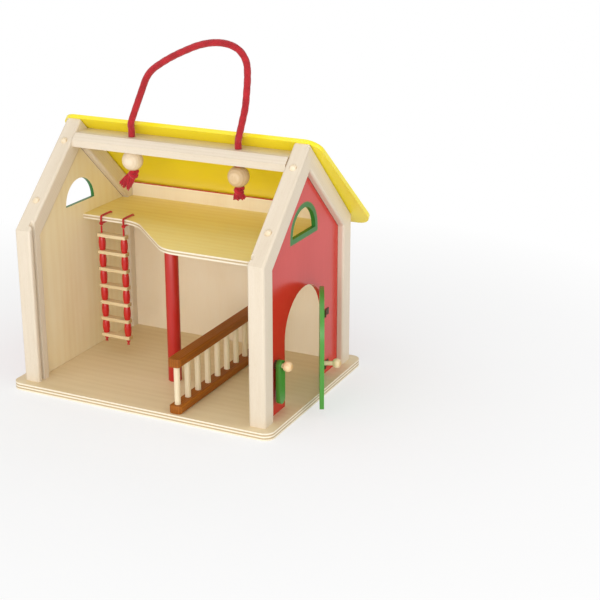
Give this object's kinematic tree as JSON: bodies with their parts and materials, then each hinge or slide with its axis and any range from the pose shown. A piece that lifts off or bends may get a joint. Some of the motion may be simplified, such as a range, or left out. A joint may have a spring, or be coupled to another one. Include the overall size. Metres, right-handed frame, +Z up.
{
  "type": "toy barn",
  "caption": "Wooden toy barn with an open front, a hinged arched door and its turn latch, a loft with a rope ladder, a stall rail and a rope carrying handle.",
  "frame": {"origin": "middle of the base plate's underside", "axes": "+X along the ridge towards the gable with the door, -Y towards the open front, +Z up"},
  "size_m": [0.3853, 0.2597, 0.4105],
  "materials": {
    "natural_wood": "sanded and clear matt lacquer",
    "plywood": "sanded plywood, clear matt lacquer",
    "red_paint": "red gloss paint outside, natural plywood inside",
    "green_paint": "green satin paint",
    "yellow_paint": "yellow satin paint",
    "brown_stain": "brown stain, satin",
    "red_bead": "red satin paint",
    "red_rope": "twisted red cord",
    "bronze_steel": "antique bronze plating"
  },
  "bodies": {
    "barn": {"base_plate": "plywood", "left_front_post": "natural_wood", "left_back_post": "natural_wood", "right_front_post": "natural_wood", "right_back_post": "natural_wood", "left_front_rafter": "natural_wood", "left_back_rafter": "natural_wood", "right_front_rafter": "natural_wood", "right_back_rafter": "natural_wood", "left_gable_panel": "red_paint", "right_gable_panel": "red_paint", "back_wall": "red_paint", "roof_panel": "yellow_paint", "ridge_beam": "natural_wood", "loft_floor": "plywood", "loft_post": "red_bead", "stall_bottom_rail": "brown_stain", "stall_top_rail": "brown_stain", "stall_spindles": "natural_wood", "front_roof_pegs": "natural_wood", "rear_roof_pegs": "natural_wood", "frame_dowels": "natural_wood", "beam_dowels": "natural_wood", "post_screws": "bronze_steel", "rail_screws": "bronze_steel", "wall_screws": "bronze_steel", "ladder_cord_loops": "red_rope", "latch_peg": "natural_wood", "latch_spacer": "natural_wood", "hinge_wall_plates": "bronze_steel", "hinge_pins": "bronze_steel", "hinge_wall_screws": "bronze_steel", "rope_handle": "red_rope", "left_handle_bead": "natural_wood", "right_handle_bead": "natural_wood", "left_rope_end": "red_rope", "right_rope_end": "red_rope"},
    "door": {"door_leaf": "green_paint", "hinge_door_plates": "bronze_steel", "hinge_door_screws": "bronze_steel", "door_knob": "natural_wood"},
    "latch": {"latch_bar": "green_paint"},
    "ladder": {"ladder_cords": "red_rope", "ladder_rungs": "natural_wood", "ladder_beads": "red_bead"}
  },
  "joints": [
    {"name": "door_swing", "type": "hinge", "parent": "barn", "child": "door", "pos_m": [0.15415, 0.053, 0.054], "axis": [0, 0, 1], "range_deg": [-25.5, 135]},
    {"name": "latch_turn", "type": "hinge", "parent": "barn", "child": "latch", "pos_m": [0.1586, -0.0735, 0.0692], "axis": [1, 0, 0], "range_deg": [-17, 197]},
    {"name": "ladder_swing", "type": "hinge", "parent": "barn", "child": "ladder", "pos_m": [-0.104, 0.0013, 0.1728], "axis": [1, 0, 0], "range_deg": [-60, 38]}
  ]
}
